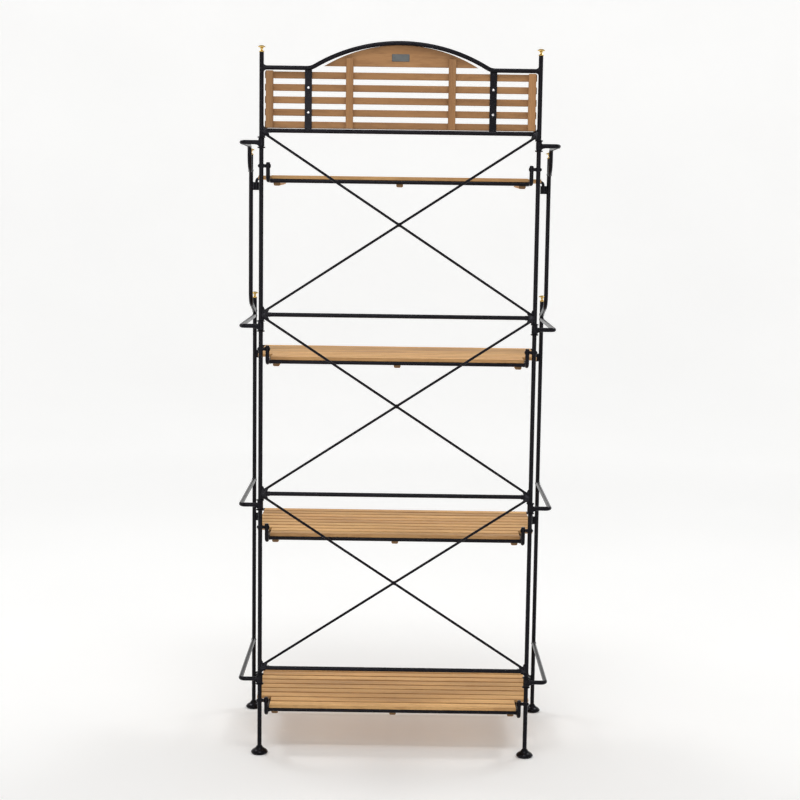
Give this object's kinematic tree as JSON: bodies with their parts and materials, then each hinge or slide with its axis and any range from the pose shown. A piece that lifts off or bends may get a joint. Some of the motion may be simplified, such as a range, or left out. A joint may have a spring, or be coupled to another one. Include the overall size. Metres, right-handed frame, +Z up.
{
  "type": "bakers rack",
  "caption": "Folding bakers rack: arched iron back frame with crossed braces, bent side frames and hinged slatted teak shelves that hook onto the front rods.",
  "frame": {"origin": "on the floor under the middle of the rack's footprint", "axes": "+Z up, +X to the right as seen from the braced back, +Y from the braced back towards the open front"},
  "size_m": [0.9006, 0.4574, 1.9683],
  "materials": {
    "black_iron": "satin black paint on iron bar",
    "shelf_teak": "oiled, light tan",
    "crest_teak": "oiled, honey brown",
    "brass": "polished",
    "screw_steel": "bright zinc"
  },
  "bodies": {
    "frame": {"back_feet": "black_iron", "back_post_left": "black_iron", "back_post_right": "black_iron", "back_rail_lower": "black_iron", "back_rail_middle": "black_iron", "back_rail_upper": "black_iron", "bottom_arm_left": "black_iron", "bottom_arm_right": "black_iron", "brace_rods_lower": "black_iron", "brace_rods_middle": "black_iron", "brace_rods_upper": "black_iron", "brace_weld_beads": "black_iron", "collar_washers": "black_iron", "corner_knuckles": "black_iron", "crest_battens": "crest_teak", "crest_lower_rail": "black_iron", "crest_panel": "crest_teak", "crest_rail": "black_iron", "crest_slats": "crest_teak", "crest_strap_left": "black_iron", "crest_strap_right": "black_iron", "front_feet": "black_iron", "lower_front_rod_left": "black_iron", "lower_front_rod_right": "black_iron", "lower_rod_finials": "brass", "peg_sockets": "black_iron", "post_finials": "brass", "second_arm_left": "black_iron", "second_arm_right": "black_iron", "shelf_pivot_pins": "black_iron", "strap_screws": "screw_steel", "third_arm_left": "black_iron", "third_arm_right": "black_iron", "top_arm_left": "black_iron", "top_arm_right": "black_iron", "turning_collars": "black_iron", "upper_front_rod_left": "black_iron", "upper_front_rod_right": "black_iron", "upper_rod_finials": "brass"},
    "top_shelf": {"top_shelf_battens": "shelf_teak", "top_shelf_hook_rod": "black_iron", "top_shelf_rear_rod": "black_iron", "top_shelf_side_bars": "black_iron", "top_shelf_slats": "shelf_teak"},
    "second_shelf": {"second_shelf_battens": "shelf_teak", "second_shelf_hook_rod": "black_iron", "second_shelf_rear_rod": "black_iron", "second_shelf_side_bars": "black_iron", "second_shelf_slats": "shelf_teak"},
    "third_shelf": {"third_shelf_battens": "shelf_teak", "third_shelf_hook_rod": "black_iron", "third_shelf_rear_rod": "black_iron", "third_shelf_side_bars": "black_iron", "third_shelf_slats": "shelf_teak"},
    "bottom_shelf": {"bottom_shelf_battens": "shelf_teak", "bottom_shelf_hook_rod": "black_iron", "bottom_shelf_rear_rod": "black_iron", "bottom_shelf_side_bars": "black_iron", "bottom_shelf_slats": "shelf_teak"}
  },
  "joints": [
    {"name": "top_shelf_hinge", "type": "hinge", "parent": "frame", "child": "top_shelf", "pos_m": [0, -0.205, 1.634], "axis": [1, 0, 0], "range_deg": [0, 90]},
    {"name": "second_shelf_hinge", "type": "hinge", "parent": "frame", "child": "second_shelf", "pos_m": [0, -0.205, 1.14], "axis": [1, 0, 0], "range_deg": [0, 90]},
    {"name": "third_shelf_hinge", "type": "hinge", "parent": "frame", "child": "third_shelf", "pos_m": [0, -0.205, 0.646], "axis": [1, 0, 0], "range_deg": [0, 90]},
    {"name": "bottom_shelf_hinge", "type": "hinge", "parent": "frame", "child": "bottom_shelf", "pos_m": [0, -0.205, 0.152], "axis": [1, 0, 0], "range_deg": [0, 90]}
  ]
}
